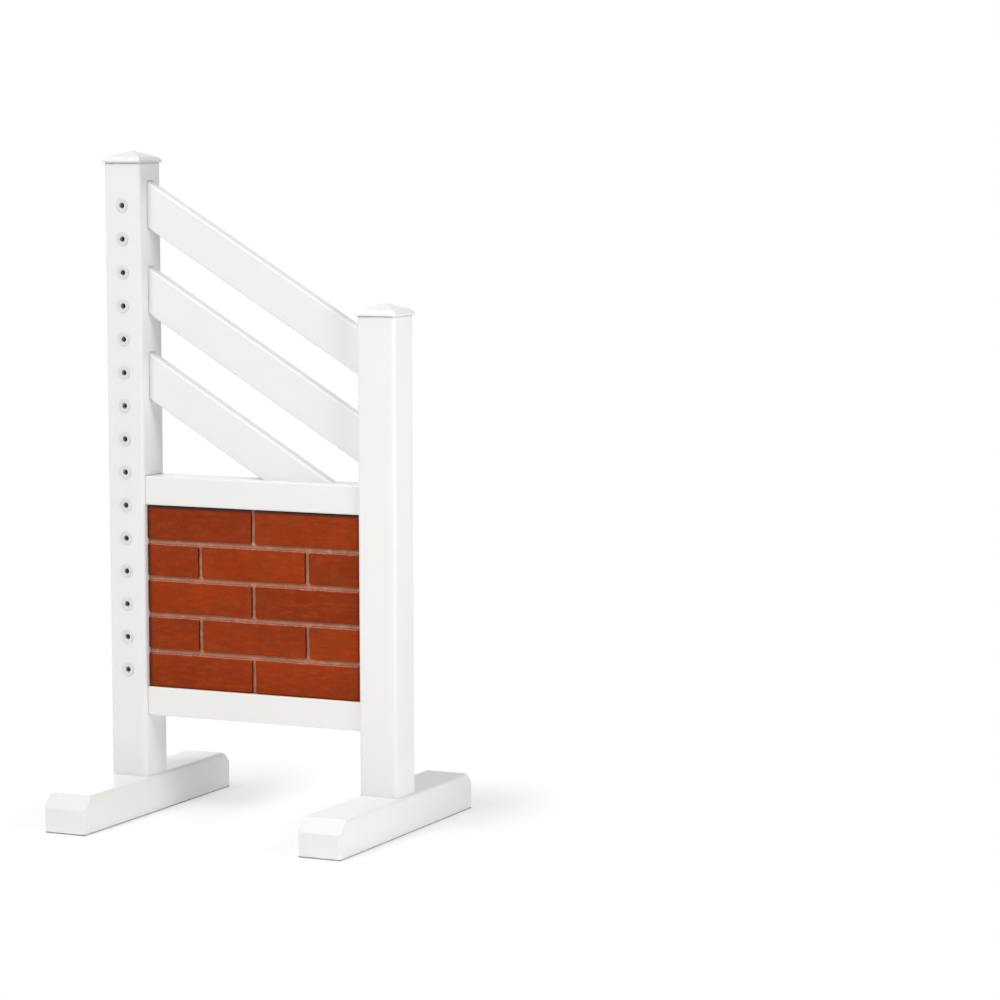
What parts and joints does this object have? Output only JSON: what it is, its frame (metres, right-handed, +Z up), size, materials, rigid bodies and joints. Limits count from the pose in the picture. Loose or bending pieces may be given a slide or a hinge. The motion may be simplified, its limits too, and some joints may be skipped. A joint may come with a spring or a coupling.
{
  "type": "show jump wing",
  "caption": "Free-standing show jump wing: a tall post with a column of pin holes and a short capped post on long feet, joined by sloping slats over a brick-pattern filler.",
  "frame": {"origin": "on the ground, midway between the two posts and midway along the feet", "axes": "+Z up; +X along the wing from the tall post to the short post; -Y is the face that the cup pins go in from"},
  "size_m": [0.753, 0.659, 1.5259],
  "materials": {
    "white_plastic": "satin",
    "sleeve_plastic": "satin",
    "brick_face": "matte",
    "mortar": "matte",
    "core_block": "matte",
    "zinc_steel": "satin"
  },
  "bodies": {
    "root": {"tall_post": "white_plastic", "short_post": "white_plastic", "tall_post_cap": "white_plastic", "short_post_cap": "white_plastic", "upper_slat": "white_plastic", "middle_slat": "white_plastic", "lower_slat": "white_plastic", "top_rail": "white_plastic", "bottom_rail": "white_plastic", "front_mortar_board": "mortar", "front_bricks": "brick_face", "back_mortar_board": "mortar", "back_bricks": "brick_face", "panel_battens": "white_plastic", "pin_sleeves": "sleeve_plastic", "sleeve_collars": "sleeve_plastic", "tall_post_foot": "white_plastic", "short_post_foot": "white_plastic", "tall_post_spigot": "core_block", "short_post_spigot": "core_block", "foot_bolts": "zinc_steel", "bolt_washers": "zinc_steel", "bolt_nuts": "zinc_steel"}
  },
  "joints": []
}
